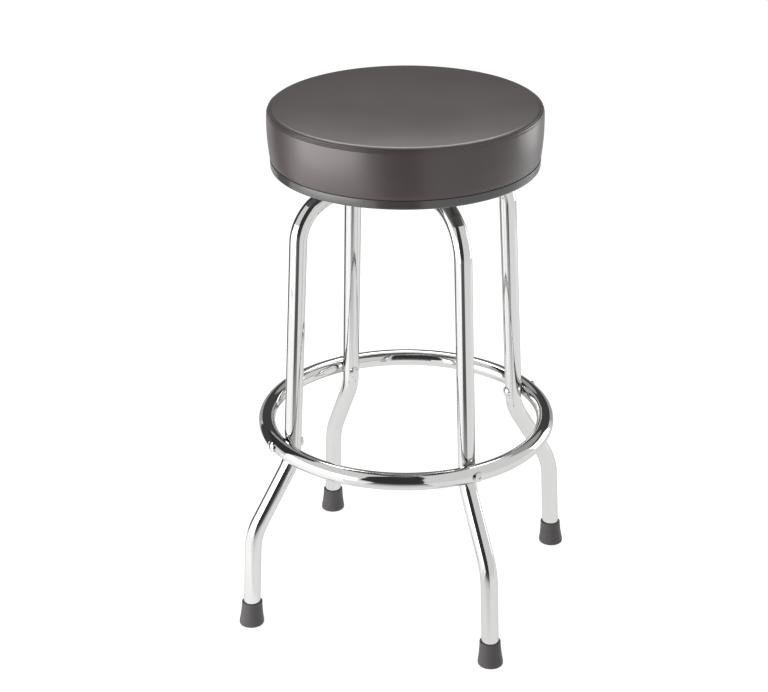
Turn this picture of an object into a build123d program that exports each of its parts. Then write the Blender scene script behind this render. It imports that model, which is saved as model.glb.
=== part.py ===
from build123d import *
from build123d.topology import SkipClean
import os
from math import asin, cos, pi, radians, sin, sqrt, tan

# Driving dimensions, in millimetres and degrees

# Leg tubes: two crossed inverted U shapes
tube_diameter = 23.8
tube_wall = 1.4
crown_height = 620.2        # tube axis above the floor where the two tubes cross
top_bend_radius = 64.0
leg_splay = 3.07            # lean of the straight runs from the vertical
leg_radius = 175.2          # stool axis to leg axis at the foot ring
knee_height = 243.0         # corner where a leg turns outwards below the ring
ankle_height = 139.5        # corner where it turns down again
knee_bend_radius = 70.0
ankle_bend_radius = 90.0
foot_radius = 246.7         # stool axis to leg axis at the floor
lap_margin = 1.5            # flattened length beyond the other tube's flattened width
lap_taper = 28.0            # length over which the flattened tube grows round again

# Foot ring
ring_height = 268.5
ring_tube_diameter = 23.8
ring_tube_wall = 1.4
ring_seat_depth = 3.5       # how far the ring sinks into the dented leg
ring_dent_radius = 45.0     # the dent's curve along the leg
ring_seat_clearance = 0.05

# Screws that hold the ring to the legs
head_rim = 0.5              # upright edge of every round head
ring_bolt_diameter = 6.0
ring_bolt_head_diameter = 15.5
ring_bolt_head_height = 4.6
ring_bolt_recess_width = 1.4
ring_bolt_recess_length = 5.8
ring_bolt_recess_depth = 2.0
ring_spot_depth = 1.2       # flattened spots under the heads and the nuts
ring_spot_margin = 0.6
cap_nut_width = 10.0
cap_nut_hex_height = 4.6
cap_nut_dome_height = 4.4
cap_nut_bore_depth = 6.8
ring_bolt_engagement = 5.6

# Rubber feet
foot_height = 35.0
foot_sole = 8.0
foot_top_diameter = 29.0
foot_base_diameter = 34.8
foot_base_band = 5.0        # upright edge of the sole
foot_waist = 0.6            # how far the side curves in between top and base
foot_base_round = 2.0
foot_top_round = 1.0
foot_bore_clearance = 0.05

# Swivel: two pressed plates, balls between them and a pivot rivet
plate_size = 140.0
plate_corner_radius = 14.0
plate_thickness = 2.0
plate_rise = 3.5            # height of the raised middle over the plate's flat rim
plate_middle_radius = 50.0
plate_skirt_width = 6.0
track_radius = 41.0
track_depth = 1.7
ball_diameter = 6.35
ball_clearance = 0.15
ball_count = 16
cage_thickness = 0.8
cage_width = 10.0
cage_hole_clearance = 0.2
pivot_diameter = 10.0
pivot_clearance = 0.05
pivot_fixed_clearance = 0.02
pivot_head_diameter = 18.0
pivot_lower_head_height = 2.6
pivot_upper_head_height = 1.8
pivot_washer_diameter = 21.0
pivot_washer_thickness = 1.0
pivot_end_play = 0.1

# Bolts of the swivel
bolt_spread = 50.0          # bolt centres from the stool axis along X and along Y
hole_clearance = 0.6        # on the diameter of a bolt's hole
frame_bolt_diameter = 6.0
frame_bolt_head_diameter = 14.0
frame_bolt_head_height = 3.3
frame_bolt_neck = 6.2
frame_bolt_neck_clearance = 0.2
frame_bolt_projection = 0.4
frame_washer_diameter = 16.0
frame_washer_thickness = 0.8
frame_nut_width = 10.0
frame_nut_height = 3.0
thread_clearance = 0.05     # radial, between a bolt and its nut
seat_bolt_diameter = 6.0
seat_bolt_head_diameter = 12.0
seat_bolt_head_height = 3.6
tee_nut_flange_diameter = 19.0
tee_nut_flange_thickness = 1.5
tee_nut_barrel_diameter = 8.0
tee_nut_barrel_length = 9.0
tee_nut_prong_count = 4
tee_nut_prong_radius = 7.4
tee_nut_prong_width = 2.0
tee_nut_prong_thickness = 1.2
tee_nut_prong_length = 6.0

# Seat pan and board
pan_thickness = 1.5
pan_rise = 1.95             # raised middle that the board rests on
pan_hem_clearance = 4.5     # pan's step inside the cover's hem
pan_step_width = 5.0
pan_rim_inset = 2.6         # pan's rim inside the cushion's widest girth
pan_taper = 3.2             # pan's base inside its rim
pan_bend_radius = 2.2
pan_rim_drop = 3.1          # rim's top edge below the top of the board
board_inset = 14.5          # board's edge inside the cushion's widest girth
board_thickness = 12.0

# Cushion
cover_thickness = 1.0
cover_clearance = 0.2
cover_hem_width = 20.0
crease_gap = 0.5            # between the pan's rim and the cushion
cushion_height = 72.7       # crease to the middle of the crown
cushion_radius = 184.0
cushion_widest_height = 49.0
cushion_draw_in = 4.0       # the wall's base inside its widest girth
crown_rise = 3.6
shoulder_radius = 9.5
seam_drop = 3.4             # top seam below the edge of the crown
seam_gap = 0.3
foam_clearance = 0.3
staple_count = 24
staple_length = 10.0
staple_leg = 8.0
staple_width = 1.2
staple_thickness = 0.7
staple_inset = 12.0         # staples from the edge of the board

# Sizes that follow from them

tube_radius = tube_diameter / 2
ring_tube_radius = ring_tube_diameter / 2
ring_radius = leg_radius + tube_radius + ring_tube_radius - ring_seat_depth
splay = radians(leg_splay)
crest_height = crown_height + tube_radius
bolt_radius = bolt_spread * sqrt(2)
nut_seat = leg_radius - tube_radius / cos(splay) + ring_spot_depth
head_seat = ring_radius + ring_tube_radius - ring_spot_depth

lap_height = tube_radius
lap_width = (pi * tube_diameter - pi * lap_height) / 2 + lap_height
lap_half_length = lap_width / 2 + lap_margin
lap_end = lap_half_length + lap_taper

ball_radius = ball_diameter / 2
track_groove_radius = ball_radius + ball_clearance
platform_height = crest_height + plate_rise + plate_thickness
ball_height = platform_height - track_depth + track_groove_radius
swivel_height = 2 * (ball_height - crest_height)
swivel_top = crest_height + swivel_height
platform_gap = 2 * (ball_height - platform_height)
pivot_washer_base = platform_height + platform_gap + plate_thickness + pivot_end_play
pivot_upper_head = pivot_washer_base + pivot_washer_thickness
pivot_lower_head = platform_height - plate_thickness

pan_rim_radius = cushion_radius - pan_rim_inset
pan_base_radius = pan_rim_radius - pan_taper
board_radius = cushion_radius - board_inset
pan_middle_radius = board_radius - cover_hem_width - pan_hem_clearance - pan_step_width
pan_base = swivel_top - pan_rise
board_base = swivel_top + pan_thickness
board_top = board_base + board_thickness
pan_rim_top = board_top - pan_rim_drop
crease_height = pan_rim_top + crease_gap
crown_top = crease_height + cushion_height
shoulder_height = crown_top - crown_rise
hem_base = board_base - cover_thickness

leg_angles = {"rear_right": 45, "rear_left": 135, "front_left": 225, "front_right": 315}
upward = (Align.CENTER, Align.CENTER, Align.MIN)
downward = (Align.CENTER, Align.CENTER, Align.MAX)


def turned(section):
    # A section drawn in radius and height, turned about the stool's upright axis
    return revolve(Plane.XZ * section, Axis.Z)


def radial(angle, distance, height):
    # A frame on the radius at this angle whose Z axis points away from the stool's axis
    return Rot(0, 0, angle) * Plane(origin=(distance, 0, height), x_dir=(0, 1, 0), z_dir=(1, 0, 0)).location


def dome(diameter, height):
    # A round bolt head: flat below, a short upright edge, then an arch whose centre is on the axis
    edge = diameter / 2
    rise = height - head_rim
    arch_radius = (edge ** 2 + rise ** 2) / (2 * rise)
    half_angle = asin(edge / arch_radius) / 2
    middle = (arch_radius * sin(half_angle), height - arch_radius * (1 - cos(half_angle)))
    arch = ThreePointArc((edge, head_rim), middle, (0, height))
    return turned(make_face(arch + Polyline((0, height), (0, 0), (edge, 0), (edge, head_rim))))


def hex_nut(width, height, chamfered_ends):
    # A hexagon across the flats, its corners turned off at one end or at both
    nut = extrude(RegularPolygon(width / 2, 6, major_radius=False), height)
    corner = width / sqrt(3)
    turned_off = corner - width / 2
    cone = Cylinder(corner, height, align=upward)
    rims = cone.edges().filter_by(GeomType.CIRCLE).sort_by(Axis.Z)
    rims = rims[-1:] if chamfered_ends == 1 else rims
    return nut & chamfer(rims, length=turned_off / 2, length2=turned_off)


def bolt_places(height):
    return [Pos(x, y, height) for x in (-bolt_spread, bolt_spread) for y in (-bolt_spread, bolt_spread)]


# Leg tubes

def upper_run(height):
    # Distance of the leg's axis from the stool's axis, above the knee
    return leg_radius - (height - ring_height) * tan(splay)


def lower_run(height):
    return foot_radius - height * tan(splay)


def leg_path(overrun):
    end = foot_sole - overrun
    corners = [
        (lap_end, crown_height),
        (upper_run(crown_height), crown_height),
        (upper_run(knee_height), knee_height),
        (lower_run(ankle_height), ankle_height),
        (foot_radius - end * sin(splay), end * cos(splay)),
    ]
    bends = [top_bend_radius, knee_bend_radius, ankle_bend_radius]
    return Plane.XZ * FilletPolyline(*corners, radius=bends)


def round_section(inset):
    # The tube's circle, cut where the flattened section's lines and arcs meet
    radius = tube_radius - inset
    cut = pi * lap_height / (4 * tube_radius)
    x = radius * cos(cut)
    y = radius * sin(cut)
    right = ThreePointArc((x, -y), (radius, 0), (x, y))
    top = ThreePointArc((x, y), (0, radius), (-x, y))
    left = ThreePointArc((-x, y), (-radius, 0), (-x, -y))
    bottom = ThreePointArc((-x, -y), (0, -radius), (x, -y))
    return make_face(right + top + left + bottom)


def flat_section(inset):
    # The same girth pressed to half the height
    half_height = lap_height / 2 - inset
    half_line = (lap_width - lap_height) / 2
    edge = half_line + half_height
    right = ThreePointArc((half_line, -half_height), (edge, 0), (half_line, half_height))
    top = Line((half_line, half_height), (-half_line, half_height))
    left = ThreePointArc((-half_line, half_height), (-edge, 0), (-half_line, -half_height))
    bottom = Line((-half_line, -half_height), (half_line, -half_height))
    return make_face(right + top + left + bottom)


def across_tube(distance, height):
    return Plane(origin=(distance, 0, height), x_dir=(0, 1, 0), z_dir=(1, 0, 0))


def leg_envelope(inset, over, overrun):
    # The tube's outside, or its bore when inset by the wall
    lap_centre = crown_height + (lap_height / 2 if over else -lap_height / 2)
    path = leg_path(overrun)
    run = sweep(across_tube(lap_end, crown_height) * Circle(tube_radius - inset), path)
    pressed = across_tube(lap_half_length, lap_centre) * flat_section(inset)
    taper = loft([pressed, across_tube(lap_end, crown_height) * round_section(inset)], ruled=True)
    lap = extrude(across_tube(-lap_half_length, lap_centre) * flat_section(inset), 2 * lap_half_length)
    half = run + taper
    envelope = lap + half + Rot(0, 0, 180) * half
    # The leg is dented where the ring lies against it, and flattened under the cap nut
    dent_radius = ring_radius - ring_tube_radius + ring_dent_radius
    envelope -= Pos(0, 0, ring_height) * Torus(dent_radius, ring_dent_radius + ring_seat_clearance + inset)
    spot_radius = cap_nut_width / sqrt(3) + ring_spot_margin + inset
    for angle in (0, 180):
        spot = Cylinder(spot_radius, tube_diameter, align=downward)
        envelope -= radial(angle, nut_seat + inset, ring_height) * spot
    return envelope


def leg_tube(over):
    tube = leg_envelope(0, over, 0) - leg_envelope(tube_wall, over, tube_wall)
    ring_hole = Cylinder((ring_bolt_diameter + hole_clearance) / 2, head_seat - nut_seat, align=upward)
    frame_hole = Cylinder((frame_bolt_diameter + hole_clearance) / 2, 2 * tube_diameter)
    for angle in (0, 180):
        tube -= radial(angle, nut_seat, ring_height) * ring_hole
        tube -= Rot(0, 0, angle) * Pos(bolt_radius, 0, crown_height) * frame_hole
    angle = leg_angles["rear_right"] if over else leg_angles["rear_left"]
    return Rot(0, 0, angle) * tube


# Foot ring and its screws

def ring_quarter(tube):
    # A solid quarter of the ring with a leg's screw at its middle
    section = Plane.XZ * (Pos(ring_radius, 0) * Circle(tube))
    return Rot(0, 0, -45) * revolve(section, Axis.Z, 90)


def foot_ring():
    spot_radius = ring_bolt_head_diameter / 2 + ring_spot_margin
    spot = Cylinder(spot_radius, ring_tube_radius, align=upward)
    pad = Cylinder(spot_radius + ring_tube_wall, ring_tube_radius, align=upward)
    hole = Cylinder((ring_bolt_diameter + hole_clearance) / 2, head_seat, align=upward)
    outside = ring_quarter(ring_tube_radius) - radial(0, head_seat, 0) * spot
    bore = ring_quarter(ring_tube_radius - ring_tube_wall) - radial(0, head_seat - ring_tube_wall, 0) * pad
    quarter = outside - bore - radial(0, nut_seat, 0) * hole
    first, *others = [Rot(0, 0, angle) * quarter for angle in leg_angles.values()]
    # The quarters keep their own faces, so that no face goes all the way round the ring
    with SkipClean():
        ring = first + others
    return Pos(0, 0, ring_height) * ring


def ring_bolt():
    # Along Z, head up, with the seat of the head at zero
    grip = head_seat - nut_seat
    bolt = dome(ring_bolt_head_diameter, ring_bolt_head_height)
    bolt += Cylinder(ring_bolt_diameter / 2, grip + ring_bolt_engagement, align=downward)
    slot = Box(ring_bolt_recess_length, ring_bolt_recess_width, ring_bolt_recess_depth, align=downward)
    for angle in (0, 90):
        bolt -= Pos(0, 0, ring_bolt_head_height) * Rot(0, 0, angle) * slot
    return bolt


def cap_nut():
    # Along Z, dome up, with its seat at zero
    nut = hex_nut(cap_nut_width, cap_nut_hex_height, 1)
    nut += Pos(0, 0, cap_nut_hex_height) * dome(cap_nut_width, cap_nut_dome_height)
    return nut - Cylinder(ring_bolt_diameter / 2 + thread_clearance, cap_nut_bore_depth, align=upward)


# Rubber feet

def rubber_foot(angle):
    base = foot_base_diameter / 2
    top = foot_top_diameter / 2
    side_mid = ((base + top) / 2 - foot_waist, (foot_base_band + foot_height) / 2)
    below = foot_base_diameter * sin(splay)
    side = ThreePointArc((base, foot_base_band), side_mid, (top, foot_height))
    rest = Polyline(
        (top, foot_height), (0, foot_height), (0, -below), (base, -below), (base, foot_base_band))
    foot = turned(make_face(side + rest))
    rim = foot.edges().filter_by(GeomType.CIRCLE).sort_by(Axis.Z)[-1:]
    foot = fillet(rim, foot_top_round)
    bore = Cylinder(tube_radius + foot_bore_clearance, foot_height, align=upward)
    foot -= Pos(0, 0, foot_sole) * bore
    foot = Pos(foot_radius, 0, 0) * Rot(0, -leg_splay, 0) * foot
    below_floor = Box(2 * foot_base_diameter, 2 * foot_base_diameter, foot_height, align=downward)
    foot -= Pos(foot_radius, 0, 0) * below_floor
    sole_edge = foot.faces().sort_by(Axis.Z)[0].edges()
    return Rot(0, 0, angle) * fillet(sole_edge, foot_base_round)


# Swivel

def swivel_plate(bore_radius, bolt_hole):
    # The lower plate, rim down; the upper one is its mirror image
    outer = plate_middle_radius + plate_skirt_width
    sheet = Polyline(
        (bore_radius, plate_rise),
        (plate_middle_radius - plate_thickness / 2, plate_rise),
        (outer - plate_thickness / 2, 0),
        (outer + plate_thickness, 0),
        (outer + plate_thickness, plate_thickness),
        (outer, plate_thickness),
        (plate_middle_radius, plate_rise + plate_thickness),
        (bore_radius, plate_rise + plate_thickness),
        close=True,
    )
    track = Pos(track_radius, ball_height - crest_height)
    above = Pos(track_radius, plate_rise + plate_thickness)
    trough = track * Circle(track_groove_radius + plate_thickness)
    trough -= above * Rectangle(plate_size, plate_size, align=(Align.CENTER, Align.MIN))
    section = make_face(sheet) + trough - track * Circle(track_groove_radius)
    rim = RectangleRounded(plate_size, plate_size, plate_corner_radius) - Circle(outer + plate_thickness)
    for place in bolt_places(0):
        rim -= place * bolt_hole
    plate = turned(section) + extrude(rim, plate_thickness)
    return Pos(0, 0, crest_height) * plate


def swivel_lower_plate():
    neck = frame_bolt_neck + frame_bolt_neck_clearance
    return swivel_plate(pivot_diameter / 2 + pivot_fixed_clearance, Rectangle(neck, neck))


def swivel_upper_plate():
    hole = Circle((seat_bolt_diameter + hole_clearance) / 2)
    return mirror(swivel_plate(pivot_diameter / 2 + pivot_clearance, hole), Plane.XY.offset(ball_height))


def ball_places():
    return [Rot(0, 0, 360 * i / ball_count) * Pos(track_radius, 0, ball_height) for i in range(ball_count)]


def ball_cage():
    ring = Circle(track_radius + cage_width / 2) - Circle(track_radius - cage_width / 2)
    cage = Pos(0, 0, ball_height - cage_thickness / 2) * extrude(ring, cage_thickness)
    for place in ball_places():
        cage -= place * Cylinder(ball_radius + cage_hole_clearance, 2 * cage_thickness)
    return cage


def pivot_rivet():
    shank = Cylinder(pivot_diameter / 2, pivot_upper_head - pivot_lower_head, align=upward)
    lower_head = Cylinder(pivot_head_diameter / 2, pivot_lower_head_height, align=downward)
    upper_head = dome(pivot_head_diameter, pivot_upper_head_height)
    return Pos(0, 0, pivot_lower_head) * (shank + lower_head) + Pos(0, 0, pivot_upper_head) * upper_head


def pivot_washer():
    ring = Circle(pivot_washer_diameter / 2) - Circle(pivot_diameter / 2 + pivot_fixed_clearance)
    return Pos(0, 0, pivot_washer_base) * extrude(ring, pivot_washer_thickness)


# Bolts of the swivel

def frame_bolt():
    # Along Z, head up, with the seat of the head at zero
    grip = plate_thickness + tube_diameter + frame_washer_thickness
    length = grip + frame_nut_height + frame_bolt_projection
    bolt = dome(frame_bolt_head_diameter, frame_bolt_head_height)
    bolt += Box(frame_bolt_neck, frame_bolt_neck, plate_thickness, align=downward)
    return bolt + Cylinder(frame_bolt_diameter / 2, length, align=downward)


def frame_washer():
    ring = Circle(frame_washer_diameter / 2) - Circle((frame_bolt_diameter + hole_clearance) / 2)
    return extrude(ring, -frame_washer_thickness)


def frame_nut():
    bore = Cylinder(frame_bolt_diameter / 2 + thread_clearance, frame_nut_height, align=upward)
    return Pos(0, 0, -frame_nut_height) * (hex_nut(frame_nut_width, frame_nut_height, 2) - bore)


def seat_bolt():
    # Along Z, head down, with the seat of the head at zero
    length = plate_thickness + pan_thickness + board_thickness - tee_nut_flange_thickness
    head = Rot(180, 0, 0) * dome(seat_bolt_head_diameter, seat_bolt_head_height)
    return head + Cylinder(seat_bolt_diameter / 2, length, align=upward)


def tee_nut():
    # Flange flush with the top of the board at zero, barrel and prongs down
    nut = Cylinder(tee_nut_flange_diameter / 2, tee_nut_flange_thickness, align=downward)
    nut += Cylinder(tee_nut_barrel_diameter / 2, tee_nut_barrel_length, align=downward)
    prong = Box(tee_nut_prong_thickness, tee_nut_prong_width, tee_nut_prong_length, align=downward)
    for i in range(tee_nut_prong_count):
        nut += Rot(0, 0, 360 * i / tee_nut_prong_count) * Pos(tee_nut_prong_radius, 0, 0) * prong
    return nut - Cylinder(seat_bolt_diameter / 2 + thread_clearance, 2 * tee_nut_barrel_length)


# Seat

def seat_pan():
    middle = pan_middle_radius
    line = FilletPolyline(
        (0, pan_rise),
        (middle, pan_rise),
        (middle + pan_step_width, 0),
        (pan_base_radius, 0),
        (pan_rim_radius, pan_rim_top - pan_base),
        radius=pan_bend_radius,
    )
    sheet = make_face(offset(line, pan_thickness, side=Side.LEFT, closed=True))
    sheet -= band(0, 2 * pan_rim_radius, pan_rim_top - pan_base, board_top - pan_base)
    pan = Pos(0, 0, pan_base) * turned(sheet)
    for place in bolt_places(swivel_top):
        pan -= place * Cylinder((seat_bolt_diameter + hole_clearance) / 2, 4 * pan_thickness)
    return pan


def staples():
    # A wire bridge under the hem with its two legs up through it into the board
    reach = staple_leg + cover_thickness
    on_base = (Align.CENTER, Align.MIN)
    wire = Rectangle(staple_length, reach + staple_thickness, align=on_base)
    wire -= Pos(0, staple_thickness) * Rectangle(staple_length - 2 * staple_thickness, reach, align=on_base)
    bridge = Plane(origin=(0, 0, 0), x_dir=(0, 1, 0), z_dir=(1, 0, 0)) * wire
    staple = extrude(bridge, staple_width / 2, both=True)
    place = Pos(board_radius - staple_inset, 0, hem_base - staple_thickness)
    return [Rot(0, 0, 360 * (i + 0.5) / staple_count) * place * staple for i in range(staple_count)]


def seat_board(tee_nuts, cover_staples):
    board = Pos(0, 0, board_base) * Cylinder(board_radius, board_thickness, align=upward)
    for place in bolt_places(board_top):
        board -= place * Cylinder((seat_bolt_diameter + hole_clearance) / 2, 2 * board_thickness)
    return board - tee_nuts - cover_staples


def cushion_section(inset, base):
    # Half section of the cushion: inside the crown's arc and inside the wall's arc
    bulge = (cushion_widest_height ** 2 + cushion_draw_in ** 2) / (2 * cushion_draw_in)
    arch = (cushion_radius ** 2 + crown_rise ** 2) / (2 * crown_rise)
    wall = Pos(cushion_radius - bulge, crease_height + cushion_widest_height) * Circle(bulge - inset)
    crown = Pos(0, crown_top - arch) * Circle(arch - inset)
    quarter = Rectangle(2 * cushion_radius, 2 * cushion_height, align=(Align.MIN, Align.MIN))
    section = Pos(0, base) * quarter & wall & crown
    edge = section.vertices().sort_by(lambda v: v.X + v.Y)[-1]
    return fillet(edge, shoulder_radius - inset)


def band(inner, outer, low, high):
    # A ring's section between two radii and two heights
    return Pos(inner, low) * Rectangle(outer - inner, high - low, align=(Align.MIN, Align.MIN))


def seat_foam():
    return turned(cushion_section(cover_thickness + foam_clearance, board_top))


def cover_pieces(cover_staples):
    tuck_inner = board_radius + cover_clearance
    tuck_outer = tuck_inner + cover_thickness
    shell = cushion_section(0, crease_height)
    shell -= cushion_section(cover_thickness, crease_height + cover_thickness)
    shell -= band(0, tuck_inner, crease_height, crease_height + cover_thickness)
    shell += band(tuck_inner, tuck_outer, hem_base, crease_height + cover_thickness)
    shell += band(board_radius - cover_hem_width, tuck_outer, hem_base, board_base)
    seam = shoulder_height - seam_drop
    top = shell - band(0, 2 * cushion_radius, hem_base, seam + seam_gap / 2)
    wall = shell - band(0, 2 * cushion_radius, seam - seam_gap / 2, crown_top)
    return turned(top), turned(wall) - cover_staples


# The stool

def build():
    tee_nuts = [place * tee_nut() for place in bolt_places(board_top)]
    cover_staples = staples()
    cover_top, cover_wall = cover_pieces(cover_staples)
    plate_top = crest_height + plate_thickness
    tube_base = crown_height - tube_radius
    washer_base = tube_base - frame_washer_thickness
    nodes = {
        "seat_cover_top": cover_top,
        "seat_cover_wall": cover_wall,
        "seat_foam": seat_foam(),
        "seat_board": seat_board(tee_nuts, cover_staples),
        "seat_pan": seat_pan(),
        "cover_staples": cover_staples,
        "tee_nuts": tee_nuts,
        "seat_bolts": [place * seat_bolt() for place in bolt_places(swivel_top - plate_thickness)],
        "swivel_upper_plate": swivel_upper_plate(),
        "bearing_balls": [place * Sphere(ball_radius) for place in ball_places()],
        "ball_cage": ball_cage(),
        "swivel_lower_plate": swivel_lower_plate(),
        "pivot_rivet": pivot_rivet(),
        "pivot_washer": pivot_washer(),
        "leg_tube_over": leg_tube(True),
        "leg_tube_under": leg_tube(False),
        "frame_bolts": [place * frame_bolt() for place in bolt_places(plate_top)],
        "frame_washers": [place * frame_washer() for place in bolt_places(tube_base)],
        "frame_nuts": [place * frame_nut() for place in bolt_places(washer_base)],
        "foot_ring": foot_ring(),
        "ring_bolts": [radial(angle, head_seat, ring_height) * ring_bolt() for angle in leg_angles.values()],
        "ring_cap_nuts": [
            radial(angle, nut_seat, ring_height) * Rot(180, 0, 0) * cap_nut() for angle in leg_angles.values()
        ],
    }
    for corner, angle in leg_angles.items():
        nodes["foot_" + corner] = rubber_foot(angle)
    return nodes


os.makedirs("parts", exist_ok=True)
for name, shape in build().items():
    if isinstance(shape, list):
        shape = Compound(children=shape)
    export_step(shape, "parts/" + name + ".step")
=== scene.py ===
from math import asin, atan2, ceil, cos, exp, hypot, pi, radians, sin, sqrt, tan

import bmesh
import bpy
from mathutils import Matrix, Vector, noise


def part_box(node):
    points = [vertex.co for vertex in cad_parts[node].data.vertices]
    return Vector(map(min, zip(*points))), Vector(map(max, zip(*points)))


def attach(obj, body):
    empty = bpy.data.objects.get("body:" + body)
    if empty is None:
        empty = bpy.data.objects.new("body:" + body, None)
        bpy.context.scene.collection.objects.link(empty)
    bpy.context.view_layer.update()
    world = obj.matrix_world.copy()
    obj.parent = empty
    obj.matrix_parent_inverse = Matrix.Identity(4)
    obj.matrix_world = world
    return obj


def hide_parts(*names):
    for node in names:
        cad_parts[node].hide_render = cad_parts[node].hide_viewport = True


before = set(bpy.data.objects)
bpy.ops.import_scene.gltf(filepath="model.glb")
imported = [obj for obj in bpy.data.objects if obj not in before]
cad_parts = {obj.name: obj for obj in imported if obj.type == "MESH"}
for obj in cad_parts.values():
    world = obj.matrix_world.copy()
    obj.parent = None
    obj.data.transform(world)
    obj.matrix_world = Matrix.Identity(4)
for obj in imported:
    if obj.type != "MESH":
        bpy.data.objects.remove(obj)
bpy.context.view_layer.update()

mm = 0.001
scene = bpy.context.scene
scene.view_settings.view_transform = "Standard"
print("stool frame loaded,", len(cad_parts), "nodes")


def linear(hexColour):
    # sRGB hex to the linear colour that the shaders work in
    values = [int(hexColour[i:i + 2], 16) / 255 for i in (1, 3, 5)]
    return [v / 12.92 if v <= 0.04045 else ((v + 0.055) / 1.055) ** 2.4 for v in values] + [1.0]


def setInputs(tree, node, inputs):
    # a node's inputs by name or number, as values or as links
    for key, value in dict(inputs).items():
        if isinstance(value, bpy.types.NodeSocket):
            tree.links.new(value, node.inputs[key])
        else:
            node.inputs[key].default_value = value


def addNode(tree, kind, inputs=(), **settings):
    # a node with its settings and its inputs
    node = tree.nodes.new(kind)
    for name, value in settings.items():
        setattr(node, name, value)
    setInputs(tree, node, inputs)
    return node


def worked(tree, operation, *values):
    # a sum worked on numbers
    return addNode(tree, "ShaderNodeMath", dict(enumerate(values)), operation=operation).outputs[0]


def ranged(tree, value, low, high, first=0.0, last=1.0):
    # a number between low and high taken to between first and last
    return addNode(tree, "ShaderNodeMapRange", {
        "Value": value, "From Min": low, "From Max": high, "To Min": first, "To Max": last}).outputs[0]


def mottled(tree, place, size, detail, roughness=0.5):
    # noise in patches of a size in mm
    return addNode(tree, "ShaderNodeTexNoise", {
        "Vector": place, "Scale": 1 / (size * mm), "Detail": detail, "Roughness": roughness}).outputs[0]


def blended(tree, share, first, second):
    # a colour between two
    return addNode(tree, "ShaderNodeMix", {
        0: share, 6: linear(first), 7: linear(second)}, data_type="RGBA").outputs[2]


def embossed(tree, height, strength, depth, invert=False):
    # a bump of a depth in mm
    return addNode(tree, "ShaderNodeBump", {
        "Height": height, "Strength": strength, "Distance": depth * mm}, invert=invert).outputs[0]


def newFinish(name):
    # a material with its node tree, its shader and the place on the piece
    finish = bpy.data.materials.new(name)
    finish.use_nodes = True
    tree = finish.node_tree
    place = addNode(tree, "ShaderNodeTexCoord").outputs["Object"]
    return finish, tree, tree.nodes["Principled BSDF"], place


# Finishes

# Decorative chrome on drawn steel tube: a mirror, grey by itself, with a polish haze that only just shows
chrome = {
    "colour": "#c9c9c8", "edge": "#dfdfde", "smoothest": 0.045, "roughest": 0.09, "hazeSize": 45,
    "rippleSize": 16, "rippleDepth": 0.05}


def makeChromePlate():
    finish, tree, shader, place = newFinish("chromePlate")
    haze = mottled(tree, place, chrome["hazeSize"], 4.0, roughness=0.6)
    ripple = mottled(tree, place, chrome["rippleSize"], 2.0)
    setInputs(tree, shader, {
        "Base Color": linear(chrome["colour"]), "Specular Tint": linear(chrome["edge"]), "Metallic": 1.0,
        "Roughness": ranged(tree, haze, 0.35, 0.75, chrome["smoothest"], chrome["roughest"]),
        "Normal": embossed(tree, ripple, 0.12, chrome["rippleDepth"])})
    return finish


# Calendered PVC upholstery cloth: warm charcoal, satin, with a shallow pebble grain
# The real grain is under half a millimetre and is drawn at four times that, so that it shows close up
vinyl = {
    "colour": "#4c4444", "worn": "#4e4646", "cloudSize": 70, "grainSize": 1.8, "grainDepth": 0.05,
    "satin": 0.29, "dull": 0.32, "glint": "#fffaf9"}


def makeSatinVinyl():
    finish, tree, shader, place = newFinish("satinVinyl")
    cloud = mottled(tree, place, vinyl["cloudSize"], 3.0)
    pebble = addNode(tree, "ShaderNodeTexVoronoi", {
        "Vector": place, "Scale": 1 / (vinyl["grainSize"] * mm)}, feature="SMOOTH_F1").outputs["Distance"]
    setInputs(tree, shader, {
        "Base Color": blended(tree, cloud, vinyl["colour"], vinyl["worn"]), "IOR": 1.53,
        "Roughness": ranged(tree, cloud, 0.3, 0.7, vinyl["satin"], vinyl["dull"]),
        "Specular Tint": linear(vinyl["glint"]),
        "Normal": embossed(tree, pebble, 0.35, vinyl["grainDepth"], invert=True)})
    return finish


# Stoved black enamel on pressed steel: neutral, glossier than the vinyl, with a little orange peel
enamel = {
    "colour": "#413f3f", "dusty": "#464544", "dustSize": 35, "peelSize": 2.6, "peelDepth": 0.02,
    "gloss": 0.17, "dull": 0.21}


def makePanEnamel():
    finish, tree, shader, place = newFinish("stovedEnamel")
    dust = mottled(tree, place, enamel["dustSize"], 5.0)
    peel = mottled(tree, place, enamel["peelSize"], 1.0)
    setInputs(tree, shader, {
        "Base Color": blended(tree, dust, enamel["colour"], enamel["dusty"]), "IOR": 1.65,
        "Roughness": ranged(tree, dust, 0.3, 0.7, enamel["gloss"], enamel["dull"]),
        "Normal": embossed(tree, peel, 0.4, enamel["peelDepth"])})
    return finish


# Moulded rubber: dark grey, matt, a bloom of pale dust low down where it meets the floor
rubber = {
    "colour": "#4a4748", "bloom": "#5d5a59", "bloomHeight": 9, "scuffSize": 6, "smoothest": 0.5,
    "roughest": 0.68, "pitSize": 1.2, "pitDepth": 0.06}


def makeFootRubber():
    finish, tree, shader, place = newFinish("mouldedRubber")
    height = addNode(tree, "ShaderNodeSeparateXYZ", {"Vector": place}).outputs["Z"]
    low = ranged(tree, height, 0.0, rubber["bloomHeight"] * mm, 1.0, 0.25)
    scuff = mottled(tree, place, rubber["scuffSize"], 5.0)
    dusty = worked(tree, "MULTIPLY", low, scuff)
    pits = mottled(tree, place, rubber["pitSize"], 2.0)
    setInputs(tree, shader, {
        "Base Color": blended(tree, dusty, rubber["colour"], rubber["bloom"]), "IOR": 1.52,
        "Roughness": ranged(tree, scuff, 0.3, 0.7, rubber["smoothest"], rubber["roughest"]),
        "Normal": embossed(tree, pits, 0.4, rubber["pitDepth"])})
    return finish


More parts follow.
